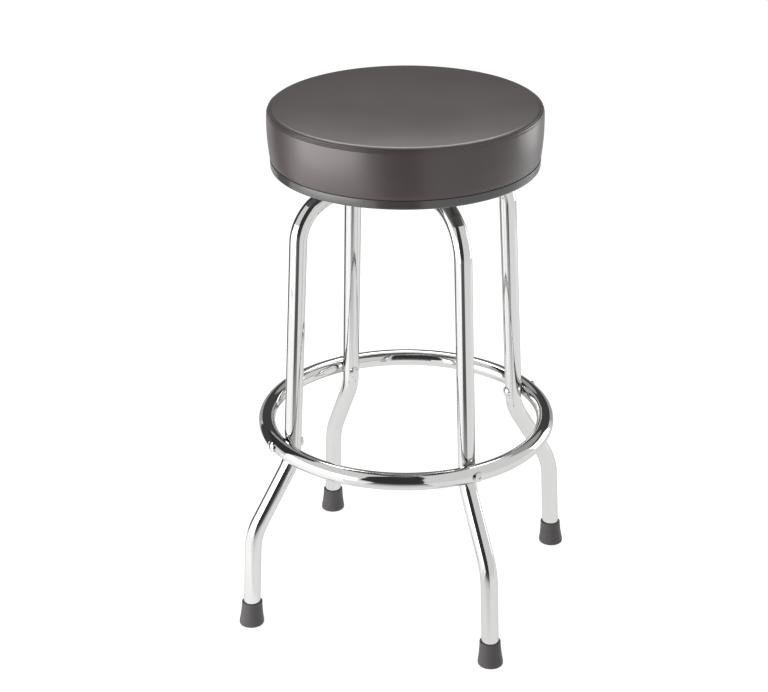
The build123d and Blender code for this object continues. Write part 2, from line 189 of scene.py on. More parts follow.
# Bright zinc on pressed steel: grey, softly cloudy, with a crystalline flicker
zinc = {"colour": "#b9bdc1", "shade": "#a3a8ad", "crystalSize": 2.5, "smoothest": 0.24, "roughest": 0.42}


def makeZincSteel():
    finish, tree, shader, place = newFinish("brightZinc")
    crystal = addNode(tree, "ShaderNodeTexVoronoi", {
        "Vector": place, "Scale": 1 / (zinc["crystalSize"] * mm)}).outputs["Color"]
    shade = addNode(tree, "ShaderNodeSeparateColor", {"Color": crystal}).outputs[0]
    setInputs(tree, shader, {
        "Base Color": blended(tree, shade, zinc["colour"], zinc["shade"]), "Metallic": 1.0,
        "Roughness": ranged(tree, shade, 0.0, 1.0, zinc["smoothest"], zinc["roughest"])})
    return finish


# Ground ball steel under a film of grease: bright, with a darker smear here and there
ballSteel = {"colour": "#c6c8cb", "grease": "#8f8a7e", "smearSize": 4, "smoothest": 0.08, "roughest": 0.3}


def makeBallSteel():
    finish, tree, shader, place = newFinish("groundSteel")
    smear = ranged(tree, mottled(tree, place, ballSteel["smearSize"], 3.0), 0.5, 0.7)
    setInputs(tree, shader, {
        "Base Color": blended(tree, smear, ballSteel["colour"], ballSteel["grease"]), "Metallic": 1.0,
        "Roughness": ranged(tree, smear, 0.0, 1.0, ballSteel["smoothest"], ballSteel["roughest"])})
    return finish


# Birch plywood: pale plies stacked in height, with the face grain running along X
plywood = {
    "pale": "#d2b48a", "dark": "#a57f54", "plyThickness": 1.7, "bandsPerScale": 3.2, "grainWidth": 2.2,
    "grainLength": 60, "grainDepth": 0.1}


def makeBirchPly():
    finish, tree, shader, place = newFinish("birchPlywood")
    ply = addNode(tree, "ShaderNodeTexWave", {
        "Vector": place, "Scale": 1 / (2 * plywood["plyThickness"] * mm) / plywood["bandsPerScale"],
        "Distortion": 0.6}, bands_direction="Z").outputs["Fac"]
    along, across = (1 / (plywood[k] * mm) for k in ("grainLength", "grainWidth"))
    drawnOut = addNode(tree, "ShaderNodeMapping", {"Vector": place, "Scale": (along, across, across)})
    grain = addNode(tree, "ShaderNodeTexNoise", {
        "Vector": drawnOut.outputs[0], "Scale": 1.0, "Detail": 4.0}).outputs[0]
    streak = worked(tree, "MULTIPLY", ply, grain)
    setInputs(tree, shader, {
        "Base Color": blended(tree, streak, plywood["pale"], plywood["dark"]), "Roughness": 0.6,
        "Normal": embossed(tree, grain, 0.3, plywood["grainDepth"])})
    return finish


# Cut polyurethane foam: cream, matt, open cells
foam = {"colour": "#dccfa9", "cell": "#b7a67c", "cellSize": 1.6, "cellDepth": 0.4}


def makeSeatFoam():
    finish, tree, shader, place = newFinish("polyurethaneFoam")
    cells = addNode(tree, "ShaderNodeTexVoronoi", {
        "Vector": place, "Scale": 1 / (foam["cellSize"] * mm)}).outputs["Distance"]
    setInputs(tree, shader, {
        "Base Color": blended(tree, cells, foam["colour"], foam["cell"]), "Roughness": 0.95,
        "Normal": embossed(tree, cells, 0.6, foam["cellDepth"], invert=True)})
    return finish


chromePlate = makeChromePlate()
satinVinyl = makeSatinVinyl()
stovedEnamel = makePanEnamel()
mouldedRubber = makeFootRubber()
brightZinc = makeZincSteel()
groundSteel = makeBallSteel()
birchPlywood = makeBirchPly()
polyurethaneFoam = makeSeatFoam()
print("finishes made")


# Shapes that several pieces share

def roundCorners(corners, steps=8):
    # a line through (x, y, radius) corners, each corner with a radius turned into an arc
    line = []
    for index, (x, y, radius) in enumerate(corners):
        here = Vector((x, y))
        if radius == 0:
            line.append(here)
            continue
        back = (Vector(corners[index - 1][:2]) - here).normalized()
        on = (Vector(corners[index + 1][:2]) - here).normalized()
        half = back.angle(on) / 2
        centre = here + (back + on).normalized() * radius / sin(half)
        start = here + back * radius / tan(half) - centre
        end = here + on * radius / tan(half) - centre
        first = atan2(start.y, start.x)
        turn = (atan2(end.y, end.x) - first + pi) % (2 * pi) - pi
        for step in range(steps + 1):
            angle = first + turn * step / steps
            line.append(centre + radius * Vector((cos(angle), sin(angle))))
    return line


def arcLine(centre, radius, first, last, steps):
    # points on an arc between two angles in radians
    angles = [first + (last - first) * i / steps for i in range(steps + 1)]
    return [Vector((centre[0] + radius * cos(a), centre[1] + radius * sin(a))) for a in angles]


def spaced(line, longest):
    # the same line with no gap longer than this
    result = [line[0]]
    for start, end in zip(line, line[1:]):
        count = max(1, ceil((end - start).length / longest))
        result += [start.lerp(end, i / count) for i in range(1, count + 1)]
    return result


def beside(line, distance):
    # the line moved to its left by a distance
    result = []
    for index, point in enumerate(line):
        along = line[min(index + 1, len(line) - 1)] - line[max(index - 1, 0)]
        result.append(point + distance * Vector((-along.y, along.x)).normalized())
    return result


def softMin(a, b, blend):
    # the smaller of two lengths, rounded off where they meet
    share = max(blend - abs(a - b), 0.0) / blend
    return min(a, b) - share * share * blend / 4


def easeInOut(value):
    value = min(max(value, 0.0), 1.0)
    return value * value * (3 - 2 * value)


def linked(name, data):
    # an object with this data, in the scene
    thing = bpy.data.objects.new(name, data)
    scene.collection.objects.link(thing)
    return thing


def addPiece(name, mesh, finish):
    piece = linked(name, mesh)
    mesh.materials.clear()
    mesh.materials.append(finish)
    return piece


def meshOf(builder, name):
    mesh = bpy.data.meshes.new(name)
    builder.to_mesh(mesh)
    builder.free()
    return mesh


def meshFromRings(name, rings, sharpAngle=40, loop=False):
    # a closed skin through rings of points in mm; a ring of one point closes an end
    builder = bmesh.new()
    rows = [[builder.verts.new(Vector(point) * mm) for point in ring] for ring in rings]
    pairs = list(zip(rows, rows[1:]))
    if loop:
        pairs.append((rows[-1], rows[0]))
    for low, high in pairs:
        count = max(len(low), len(high))
        for i in range(count):
            j = (i + 1) % count
            corners = [low[i % len(low)], low[j % len(low)], high[j % len(high)], high[i % len(high)]]
            builder.faces.new(list(dict.fromkeys(corners)))
    bmesh.ops.recalc_face_normals(builder, faces=builder.faces)
    mesh = meshOf(builder, name)
    mesh.shade_smooth()
    mesh.set_sharp_from_angle(angle=radians(sharpAngle))
    return mesh


def turnedRings(outline, sides):
    # rings round Z from an outline of radius and height in mm, closed where it meets the axis
    rings = []
    for radius, height in outline:
        if radius < 1e-6:
            rings.append([(0.0, 0.0, height)])
        else:
            angles = [2 * pi * i / sides for i in range(sides)]
            rings.append([(radius * cos(a), radius * sin(a), height) for a in angles])
    return rings


def dressed(piece, body, slotName, *nodes):
    # the piece moves with the body and stands for these nodes
    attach(piece, body)
    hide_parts(*nodes)
    return piece


# Leg tubes: two crossed inverted U shapes of one tube, pressed flat where they cross
legs = {
    "radius": 11.9, "crownHeight": 620.2, "topBend": 64.0, "splay": radians(3.07), "legRadius": 175.2,
    "kneeHeight": 243.0, "kneeBend": 70.0, "ankleHeight": 139.5, "ankleBend": 90.0, "footRadius": 246.7,
    "endHeight": 8.0, "lapMargin": 1.5, "lapTaper": 28.0, "sides": 56, "step": 3.0, "bendSteps": 24,
    "dentRadius": 45.0, "dentDepth": 3.5, "dentSoftness": 1.4}
ring = {
    "height": 268.5, "tubeRadius": 11.9, "sides": 56, "steps": 512, "spotDepth": 1.2, "spotRadius": 8.35,
    "spotEdge": 2.0}
ring["radius"] = legs["legRadius"] + legs["radius"] + ring["tubeRadius"] - legs["dentDepth"]
lapThickness = legs["radius"]
lapWidth = pi * (legs["radius"] - lapThickness / 2) + lapThickness
lapHalfLength = lapWidth / 2 + legs["lapMargin"]
legAngles = {"rear_right": 45, "rear_left": 135, "front_left": 225, "front_right": 315}


def upperRun(height):
    return legs["legRadius"] - (height - ring["height"]) * tan(legs["splay"])


def lowerRun(height):
    return legs["footRadius"] - height * tan(legs["splay"])


def legLine():
    # half a tube's axis in distance and height, from the crossing to the foot
    crown, knee, ankle, end = (legs[k] for k in ("crownHeight", "kneeHeight", "ankleHeight", "endHeight"))
    corners = [
        (0.0, crown, 0), (upperRun(crown), crown, legs["topBend"]), (upperRun(knee), knee, legs["kneeBend"]),
        (lowerRun(ankle), ankle, legs["ankleBend"]), (lowerRun(end), end, 0)]
    return spaced(roundCorners(corners, legs["bendSteps"]), legs["step"])


def tubeSection(share):
    # the tube's section as (across, up) points: round at share 0, pressed to half its height at 1
    girth = 2 * pi * legs["radius"]
    line = lapWidth - lapThickness
    half = lapThickness / 2
    bend = pi * half
    points = []
    for i in range(legs["sides"]):
        angle = 2 * pi * i / legs["sides"]
        run = girth * i / legs["sides"]
        if run < line / 2:
            flat = (run, half)
        elif run < line / 2 + bend:
            turn = (run - line / 2) / half
            flat = (line / 2 + half * sin(turn), half * cos(turn))
        elif run < 1.5 * line + bend:
            flat = (line + bend - run, -half)
        elif run < 1.5 * line + 2 * bend:
            turn = (run - 1.5 * line - bend) / half
            flat = (-line / 2 - half * sin(turn), -half * cos(turn))
        else:
            flat = (run - girth, half)
        full = (legs["radius"] * sin(angle), legs["radius"] * cos(angle))
        points.append([f + (p - f) * share for f, p in zip(full, flat)])
    return points


def dented(point):
    # the leg is pressed in where the ring lies against it
    reach = hypot(point[0], point[1])
    die = legs["dentRadius"]
    rise = point[2] - ring["height"]
    if abs(rise) >= die:
        return point
    limit = ring["radius"] - ring["tubeRadius"] + die - sqrt(die * die - rise * rise)
    pressed = softMin(reach, limit, legs["dentSoftness"])
    return Vector((point[0] * pressed / reach, point[1] * pressed / reach, point[2]))


def legTubeMesh(name, angle, side):
    # side is 1 for the tube that lies on top at the crossing and -1 for the other
    half = legLine()
    line = [Vector((-p.x, p.y)) for p in reversed(half[1:])] + half
    out = Vector((cos(radians(angle)), sin(radians(angle)), 0))
    across = Vector((-out.y, out.x, 0))
    rings = []
    for index, point in enumerate(line):
        along = (line[min(index + 1, len(line) - 1)] - line[max(index - 1, 0)]).normalized()
        up = out * -along.y + Vector((0, 0, along.x))
        share = 0.0
        if point.y > legs["crownHeight"] - 0.01:
            share = 1 - easeInOut((abs(point.x) - lapHalfLength) / legs["lapTaper"])
        centre = out * point.x + Vector((0, 0, point.y + side * share * lapThickness / 2))
        rings.append([dented(centre + across * a + up * u) for a, u in tubeSection(share)])
    ends = [[out * line[i].x + Vector((0, 0, line[i].y))] for i in (0, -1)]
    return meshFromRings(name, [ends[0]] + rings + [ends[1]])


for name, corner, side in (("leg_tube_over", "rear_right", 1), ("leg_tube_under", "rear_left", -1)):
    tube = addPiece(name + "_chromed", legTubeMesh(name, legAngles[corner], side), chromePlate)
    dressed(tube, "frame", "chrome_tube", name)
print("leg tubes bent")


# Foot ring: the same tube bent round and closed, with a small flat under each screw
def ringMesh():
    flatAt = ring["radius"] + ring["tubeRadius"] - ring["spotDepth"]
    rings = []
    for i in range(ring["steps"]):
        around = 2 * pi * i / ring["steps"]
        out = Vector((cos(around), sin(around), 0))
        section = []
        for j in range(ring["sides"]):
            tilt = 2 * pi * j / ring["sides"]
            point = out * (ring["radius"] + ring["tubeRadius"] * cos(tilt))
            point.z = ring["height"] + ring["tubeRadius"] * sin(tilt)
            for angle in legAngles.values():
                axis = Vector((cos(radians(angle)), sin(radians(angle)), 0))
                ahead = point.dot(axis)
                aside = abs(point.x * axis.y - point.y * axis.x)
                if ahead > flatAt and aside < 2 * ring["spotRadius"]:
                    share = 1 - easeInOut((aside - ring["spotRadius"]) / ring["spotEdge"])
                    point -= axis * (ahead - flatAt) * share
            section.append(point)
        rings.append(section)
    return meshFromRings("foot_ring", rings, loop=True)


dressed(addPiece("foot_ring_chromed", ringMesh(), chromePlate), "frame", "chrome_tube", "foot_ring")
print("foot ring bent")


# Rubber feet: a tapered cup on each tube's end, leaning with the leg, its sole flat on the floor
feet = {
    "height": 35.0, "topRadius": 14.5, "baseRadius": 17.4, "band": 5.0, "waist": 0.6, "baseRound": 2.0,
    "topRound": 1.0, "bore": 11.95, "boreRound": 0.5, "sole": 8.0, "sides": 96, "steps": 16}


def footMesh(name, angle):
    top, base = feet["topRadius"], feet["baseRadius"]
    foot, head = Vector((base, feet["band"])), Vector((top, feet["height"]))
    side = [foot]
    for i in range(1, feet["steps"]):
        share = i / feet["steps"]
        waist = feet["waist"] * 4 * share * (1 - share)
        side.append(foot.lerp(head, share) - Vector((waist, 0)))
    sole = roundCorners([(0, 0, 0), (base, 0, feet["baseRound"]), (base, feet["band"], 0)], 8)[:-1]
    rim = roundCorners([
        side[-1][:] + (0,), (top, feet["height"], feet["topRound"]),
        (feet["bore"], feet["height"], feet["boreRound"]), (feet["bore"], feet["sole"], 0),
        (0, feet["sole"], 0)], 6)[1:]
    lean = Vector((-tan(legs["splay"]), 0, 0))
    turn = Matrix.Rotation(radians(angle), 3, "Z")
    rings = []
    for row in turnedRings(sole + side + rim, feet["sides"]):
        rings.append([turn @ (Vector(p) + lean * p[2] + Vector((legs["footRadius"], 0, 0))) for p in row])
    return meshFromRings(name, rings)


for corner, angle in legAngles.items():
    name = "foot_" + corner
    dressed(addPiece(name + "_rubber", footMesh(name, angle), mouldedRubber), "frame", "foot_rubber", name)
print("feet moulded")


# Seat pan: a shallow pressed dish whose rim is the dark band under the cushion
panLow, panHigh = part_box("seat_pan")
pan = {
    "thickness": 1.5, "rise": 1.95, "middleRadius": 140.0, "stepWidth": 5.0, "baseRadius": 180.0, "bend": 2.2,
    "lowBend": 3.0, "rimRadius": panHigh.x / mm - 1.2, "base": panLow.z / mm, "rimTop": panHigh.z / mm,
    "lipHeight": 0.3, "lipWidth": 0.7, "sides": 256}


def panMesh():
    base, highest = pan["base"], pan["rimTop"] - pan["lipHeight"]
    under = roundCorners([
        (0, base + pan["rise"], 0), (pan["middleRadius"], base + pan["rise"], pan["bend"]),
        (pan["middleRadius"] + pan["stepWidth"], base, pan["bend"]),
        (pan["baseRadius"], base, pan["lowBend"]), (pan["rimRadius"], highest, 0)], 10)
    above = beside(under, pan["thickness"])
    edge = (under[-1] + above[-1]) / 2
    lip = [Vector((edge.x + side * pan["lipWidth"] / 2, pan["rimTop"])) for side in (1, -1)]
    above[0].x = 0.0
    outline = under + lip + [Vector((p.x, min(p.y, highest))) for p in reversed(above)]
    return meshFromRings("seat_pan", turnedRings(outline, pan["sides"]), 50)


dressed(addPiece("seat_pan_enamelled", panMesh(), stovedEnamel), "seat", "pan_paint", "seat_pan")
print("seat pan pressed")


# Cushion: a sewn vinyl cover, blown out by its foam between the top seam and the crease
wallLow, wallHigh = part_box("seat_cover_wall")
cushion = {
    "radius": wallHigh.x / mm + 1.0, "crownRise": 2.8, "crownSwell": 2.0, "crease": 657.25,
    "widestHeight": 49.0, "drawIn": 5.2, "wallSwell": 1.5, "wallTop": 720.2, "wallRoll": 4.5,
    "seamAngle": 45.0, "topRoll": 10.5, "seamDepth": 1.8, "seamWidth": 1.5, "wallFoot": 3.2,
    "creaseRound": 3.0, "creaseSteps": 4, "tuckRadius": 170.7, "tuckRound": 1.0, "hemBase": wallLow.z / mm,
    "hemRadius": 149.5, "hemThickness": 1.0, "hemRise": 1.5, "lining": 2.8, "liningEvery": 5,
    "liningFoot": 4.0, "crownSteps": 26, "rollSteps": 14, "edgeSteps": 11, "wallSteps": 22, "segments": 200,
    "foamGap": 0.4, "foamSides": 128, "pressure": 4.0, "mass": 0.3, "stiffness": 40, "bendStiffness": 5,
    "frames": 20, "evenness": 9, "puckerHeight": 0.1, "puckerReach": 6.0, "puckerLength": 13.0,
    "puckerRise": 0.4, "puckerBand": 30.0, "puckerAngle": -30.0, "puckerSpread": 26.0, "puckerMore": 0.3,
    "seed": 7.3, "fill": 0.85}


def cushionOutline(inset):
    # crown, roll of the top panel, seam, roll of the wall and wall, in radius and height down to the crease,
    # as they are before they are blown out
    swell = cushion["wallSwell"]
    drawIn = cushion["drawIn"] - swell
    bulge = (cushion["widestHeight"] ** 2 + drawIn ** 2) / (2 * drawIn)
    wallCentre = Vector((cushion["radius"] - swell - bulge, cushion["crease"] + cushion["widestHeight"]))
    wallAngle = asin((cushion["wallTop"] - wallCentre.y) / bulge)
    baseAngle = asin((cushion["crease"] + inset - wallCentre.y) / (bulge - inset))
    seamAngle = radians(cushion["seamAngle"])
    wallRoll, topRoll = cushion["wallRoll"], cushion["topRoll"]
    lowCentre = wallCentre + (bulge - wallRoll) * Vector((cos(wallAngle), sin(wallAngle)))
    highCentre = lowCentre + (wallRoll - topRoll) * Vector((cos(seamAngle), sin(seamAngle)))
    crownAngle = pi / 2 - 2 * (cushion["crownRise"] - cushion["crownSwell"]) / highCentre.x
    arch = topRoll + highCentre.x / cos(crownAngle)
    crownCentre = (0.0, highCentre.y - highCentre.x * tan(crownAngle))
    crown = arcLine(crownCentre, arch - inset, pi / 2, crownAngle, cushion["crownSteps"])
    roll = arcLine(highCentre, topRoll - inset, crownAngle, seamAngle, cushion["rollSteps"])
    edge = arcLine(lowCentre, wallRoll - inset, seamAngle, wallAngle, cushion["edgeSteps"])
    wall = arcLine(wallCentre, bulge - inset, wallAngle, baseAngle, cushion["wallSteps"])
    crown[0].x = 0.0
    return crown + roll[1:] + edge[1:] + wall[1:], len(crown) + len(roll) - 2


def coverStart():
    # the cover before it is blown out, with the seam sunk in
    line, seam = cushionOutline(0)
    seamAngle = radians(cushion["seamAngle"])
    outward = Vector((cos(seamAngle), sin(seamAngle)))
    sunk = []
    for point in line:
        distance = (point - line[seam]).length / cushion["seamWidth"]
        sunk.append(point - outward * cushion["seamDepth"] * exp(-distance * distance))
    return sunk, seam


def coverTuck(wallEnd):
    # under the wall, down beside the board, and the hem under it; then back up as the lining
    crease, tuck, bend, thick = (cushion[k] for k in ("crease", "tuckRadius", "tuckRound", "hemThickness"))
    base, inner = cushion["hemBase"], cushion["hemRadius"]
    down = roundCorners([
        (wallEnd.x, crease + 6, 0), (wallEnd.x, crease, cushion["creaseRound"]), (tuck, crease, bend),
        (tuck, base, bend), (inner, base, 0)], cushion["creaseSteps"])[1:]
    hem = [(inner, base + thick), (tuck - thick, base + thick), (tuck - thick, crease + cushion["hemRise"])]
    lining = cushionOutline(cushion["lining"])[0][::cushion["liningEvery"]]
    back = [p for p in reversed(lining) if p.y > crease + cushion["liningFoot"]]
    return down + [Vector(p) for p in hem] + back


def pucker(point, seamHeight):
    # small gathers that die away from the seam, more of them where the two ends of the strip are sewn
    distance = abs(point.z - seamHeight)
    if hypot(point.x, point.y) < cushion["radius"] - cushion["puckerBand"]:
        return 0.0
    around = atan2(point.y, point.x)
    off = (around - radians(cushion["puckerAngle"]) + pi) % (2 * pi) - pi
    more = cushion["puckerMore"] * exp(-(off / radians(cushion["puckerSpread"])) ** 2)
    where = Vector((point.x, point.y, cushion["puckerRise"] * point.z)) / cushion["puckerLength"]
    wave = noise.noise(where + Vector((cushion["seed"], 0, 0)))
    return (cushion["puckerHeight"] + more) * wave * exp(-distance / cushion["puckerReach"])


def blownCover(points, faceRows, sunkRow):
    # blow the free part of the cover out with cloth pressure, held at the seam and the crease
    sides = cushion["segments"]
    builder = bmesh.new()
    verts = [builder.verts.new(p * mm) for p in points]
    for row in range(faceRows):
        low = 1 + (row - 1) * sides
        for i in range(sides):
            j = (i + 1) % sides
            if row == 0:
                corners = (0, 1 + i, 1 + j)
            else:
                corners = (low + i, low + sides + i, low + sides + j, low + j)
            builder.faces.new([verts[k] for k in corners])
    bmesh.ops.recalc_face_normals(builder, faces=builder.faces)
    if sum(f.normal.z for f in builder.faces if f.calc_center_median().z > cushion["wallTop"] * mm) < 0:
        bmesh.ops.reverse_faces(builder, faces=builder.faces)
    sheet = linked("coverBlow", meshOf(builder, "coverBlow"))
    held = [i for i in range(len(points)) if i > 0 and (i - 1) // sides in (sunkRow - 1, faceRows - 1)]
    sheet.vertex_groups.new(name="sewnDown").add(held, 1.0, "REPLACE")
    cloth = sheet.modifiers.new("blowOut", "CLOTH")
    cloth.settings.use_pressure = True
    cloth.settings.uniform_pressure_force = cushion["pressure"]
    cloth.settings.vertex_group_mass = "sewnDown"
    cloth.settings.effector_weights.gravity = 0.0
    cloth.settings.mass = cushion["mass"]
    cloth.settings.tension_stiffness = cushion["stiffness"]
    cloth.settings.compression_stiffness = cushion["stiffness"]
    cloth.settings.bending_stiffness = cushion["bendStiffness"]
    cloth.point_cache.frame_start = 1
    cloth.point_cache.frame_end = cushion["frames"]
    for number in range(1, cushion["frames"] + 1):
        scene.frame_set(number)
    graph = bpy.context.evaluated_depsgraph_get()
    blown = [v.co / mm for v in sheet.evaluated_get(graph).data.vertices]
    scene.frame_set(1)
    bpy.data.objects.remove(sheet)
    return blown


def evened(moves):
    # one ring's moves with their unevenness spread over the neighbours
    reach = cushion["evenness"]
    count = len(moves)
    if count == 1:
        return moves
    result = moves
    for turn in range(2):
        near = [[result[(i + j) % count] for j in range(-reach, reach + 1)] for i in range(count)]
        result = [sum(n, Vector()) / len(n) for n in near]
    return result


def coverMesh():
    start, seamRow = coverStart()
    wall = [p for p in start if p.y > cushion["crease"] + cushion["wallFoot"]]
    outline = wall + coverTuck(start[-1])
    free = len(wall) + cushion["creaseSteps"] + 1
    rows = [[Vector(p) for p in row] for row in turnedRings(outline, cushion["segments"])]
    blown = blownCover([p for row in rows[:free] for p in row], free - 1, seamRow)
    moves = [evened([blown.pop(0) - p for p in row]) for row in rows[:free]]
    for first, last, cap in ((0, seamRow, cushion["crownSwell"]), (seamRow, free, cushion["wallSwell"])):
        swell = max(sum(m.length for m in row) / len(row) for row in moves[first:last])
        print("cover blown out by", round(swell, 2), "mm, kept to", cap, "mm")
        for index in range(first, last):
            rows[index] = [p + m * cap / swell for p, m in zip(rows[index], moves[index])]
    for index in range(free):
        rows[index] = [
            p + Vector((p.x, p.y, 0)).normalized() * pucker(p, start[seamRow].y) for p in rows[index]]
    return meshFromRings("seat_cover", rows, 60)


cover = addPiece("seat_cover_sewn", coverMesh(), satinVinyl)
smoother = cover.modifiers.new("smoother", "SUBSURF")
smoother.levels = 1
smoother.render_levels = 1
dressed(cover, "seat", "vinyl", "seat_cover_top", "seat_cover_wall")


def foamMesh():
    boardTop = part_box("seat_board")[1].z / mm
    side = [p for p in cushionOutline(cushion["lining"] + cushion["foamGap"])[0] if p.y > boardTop + 2]
    base = [Vector((side[-1].x - 1, boardTop)), Vector((0, boardTop))]
    return meshFromRings("seat_foam", turnedRings(side + base, cushion["foamSides"]))


padding = dressed(addPiece("seat_foam_block", foamMesh(), polyurethaneFoam), "seat", "foam", "seat_foam")
print("cushion sewn and blown out")


# Parts that repeat round the stool: one Geometry Nodes tree sets a part out on a circle
def buildCircleOfParts():
    tree = bpy.data.node_groups.new("circleOfParts", "GeometryNodeTree")
    sockets = {
        "Part": "NodeSocketObject", "Count": "NodeSocketInt", "Radius": "NodeSocketFloat",
        "Height": "NodeSocketFloat", "First Angle": "NodeSocketFloat", "Spin Axis": "NodeSocketVector",
        "Seed": "NodeSocketInt", "Finish": "NodeSocketMaterial"}
    for name, kind in sockets.items():
        tree.interface.new_socket(name, in_out="INPUT", socket_type=kind)
    tree.interface.new_socket("Geometry", in_out="OUTPUT", socket_type="NodeSocketGeometry")
    given = addNode(tree, "NodeGroupInput").outputs
    index = addNode(tree, "GeometryNodeInputIndex").outputs[0]
    step = worked(tree, "DIVIDE", 2 * pi, given["Count"])
    angle = worked(tree, "MULTIPLY_ADD", index, step, given["First Angle"])
    x = worked(tree, "MULTIPLY", worked(tree, "COSINE", angle), given["Radius"])
    y = worked(tree, "MULTIPLY", worked(tree, "SINE", angle), given["Radius"])
    place = addNode(tree, "ShaderNodeCombineXYZ", {0: x, 1: y, 2: given["Height"]}).outputs[0]
    points = addNode(tree, "GeometryNodePoints", {"Count": given["Count"], "Position": place}).outputs[0]
    facing = addNode(tree, "ShaderNodeCombineXYZ", {2: angle}).outputs[0]
    facing = addNode(tree, "FunctionNodeEulerToRotation", {0: facing}).outputs[0]
    part = addNode(tree, "GeometryNodeObjectInfo", {"Object": given["Part"]}).outputs["Geometry"]
    placed = addNode(tree, "GeometryNodeInstanceOnPoints", {
        "Points": points, "Instance": part, "Rotation": facing}).outputs[0]
    chance = addNode(tree, "FunctionNodeRandomValue", {2: 0.0, 3: 2 * pi, "Seed": given["Seed"]}).outputs[1]
    spin = addNode(tree, "ShaderNodeVectorMath", {
        0: given["Spin Axis"], "Scale": chance}, operation="SCALE").outputs[0]
    spin = addNode(tree, "FunctionNodeEulerToRotation", {0: spin}).outputs[0]
    spun = addNode(tree, "GeometryNodeRotateInstances", {"Instances": placed, "Rotation": spin}).outputs[0]
    real = addNode(tree, "GeometryNodeRealizeInstances", {"Geometry": spun}).outputs[0]
    final = addNode(tree, "GeometryNodeSetMaterial", {"Geometry": real, "Material": given["Finish"]})
    addNode(tree, "NodeGroupOutput", {0: final.outputs[0]})
    return tree


circleOfParts = buildCircleOfParts()


def setOut(name, partMesh, finish, count, radius, height, firstAngle=45.0, spinAxis=(0, 0, 0), seed=1):
    # copies of one part, drawn with +X pointing outwards, set out on a circle as one plain mesh
    part = linked("part", partMesh)
    host = linked("host", bpy.data.meshes.new("host"))
    modifier = host.modifiers.new("circle", "NODES")
    modifier.node_group = circleOfParts
    values = {
        "Part": part, "Count": count, "Radius": radius * mm, "Height": height * mm,
        "First Angle": radians(firstAngle), "Spin Axis": spinAxis, "Seed": seed, "Finish": finish}
    for item in circleOfParts.interface.items_tree:
        if item.in_out == "INPUT":
            modifier[item.identifier] = values[item.name]
    graph = bpy.context.evaluated_depsgraph_get()
    mesh = bpy.data.meshes.new_from_object(host.evaluated_get(graph))
    host.modifiers.clear()
    bpy.data.objects.remove(host)
    bpy.data.objects.remove(part)
    mesh.name = name
    return addPiece(name, mesh, finish)


# What the bolts and screws have in common
turnedBolt = {
    "pitch": 1.0, "threaded": 12.0, "depth": 0.45, "chamfer": 0.7, "endInset": 0.8, "firstInset": 0.1,
    "sides": 48, "sharpAngle": 35}
perLeg = len(legAngles)        # one at each leg, and as many in the seat


def domeLine(radius, height, rim):
    # a round head's side and arch, from its seat to its top on the axis
    rise = height - rim
    arch = (radius ** 2 + rise ** 2) / (2 * rise)
    line = arcLine((0, height - arch), arch, asin((arch - rise) / arch), pi / 2, 10)
    line[-1] = Vector((0, height))
    return [Vector((radius, 0))] + line


def shankLine(radius, length):
    # a bolt's end upwards to its seat at zero, with the ridges of its thread
    pitch, first = turnedBolt["pitch"], turnedBolt["chamfer"] - length
    end = radius - turnedBolt["endInset"]
    line = [(0, -length), (end, -length), (radius - turnedBolt["firstInset"], first)]
    for i in range(int(turnedBolt["threaded"] / pitch)):
        low = first + i * pitch
        line += [(radius - turnedBolt["depth"], low + pitch / 2), (radius, low + pitch)]
    return [Vector(p) for p in line + [(radius, 0)]]


def boltMesh(name, bolt):
    head = domeLine(bolt["head"], bolt["headHeight"], bolt["rim"])
    outline = shankLine(bolt["shank"], bolt["length"]) + head
    return meshFromRings(name, turnedRings(outline, turnedBolt["sides"]), turnedBolt["sharpAngle"])


def outwards(mesh):
    # stand a part that was drawn along +Z along +X
    mesh.transform(Matrix.Rotation(pi / 2, 4, "Y"))
    return mesh


# Screws through the ring: round chromed heads with a cross recess
headSeat = ring["radius"] + ring["tubeRadius"] - ring["spotDepth"]
nutSeat = legs["legRadius"] - legs["radius"] / cos(legs["splay"]) + ring["spotDepth"]
ringScrew = {
    "shank": 3.0, "head": 7.3, "headHeight": 4.3, "rim": 2.1, "length": headSeat - nutSeat + 1.5,
    "slotWidth": 1.3, "slotLength": 5.0, "slotDepth": 1.2, "slotFoot": 0.72, "slotMouth": 1.15}


def crossCutter():
    # a tapered cross, wider at the mouth than at the bottom
    builder = bmesh.new()
    top = ringScrew["headHeight"] + 1.0
    low = ringScrew["headHeight"] - ringScrew["slotDepth"]
    arm, wide = ringScrew["slotLength"] / 2, ringScrew["slotWidth"] / 2
    rows = []
    for height, share in ((low, ringScrew["slotFoot"]), (top, ringScrew["slotMouth"])):
        a, w = arm * share, wide * (0.4 + 0.6 * share)
        plan = [(a, -w), (a, w), (w, w)]
        for turn in range(3):
            plan += [(-y, x) for x, y in plan[-3:]]
        rows.append([builder.verts.new(Vector((x, y, height)) * mm) for x, y in plan])
    count = len(rows[0])
    for i in range(count):
        j = (i + 1) % count
        builder.faces.new((rows[0][i], rows[0][j], rows[1][j], rows[1][i]))
    builder.faces.new(rows[1])
    builder.faces.new(list(reversed(rows[0])))
    bmesh.ops.recalc_face_normals(builder, faces=builder.faces)
    return meshOf(builder, "cross")


def ringScrewMesh():
    blank = linked("blank", boltMesh("blank", ringScrew))
    cutter = linked("cutter", crossCutter())
    cut = blank.modifiers.new("recess", "BOOLEAN")
    cut.operation = "DIFFERENCE"
    cut.object = cutter
    graph = bpy.context.evaluated_depsgraph_get()
    mesh = bpy.data.meshes.new_from_object(blank.evaluated_get(graph))
    bpy.data.objects.remove(blank)
    bpy.data.objects.remove(cutter)
    mesh.set_sharp_from_angle(angle=radians(turnedBolt["sharpAngle"]))
    return outwards(mesh)


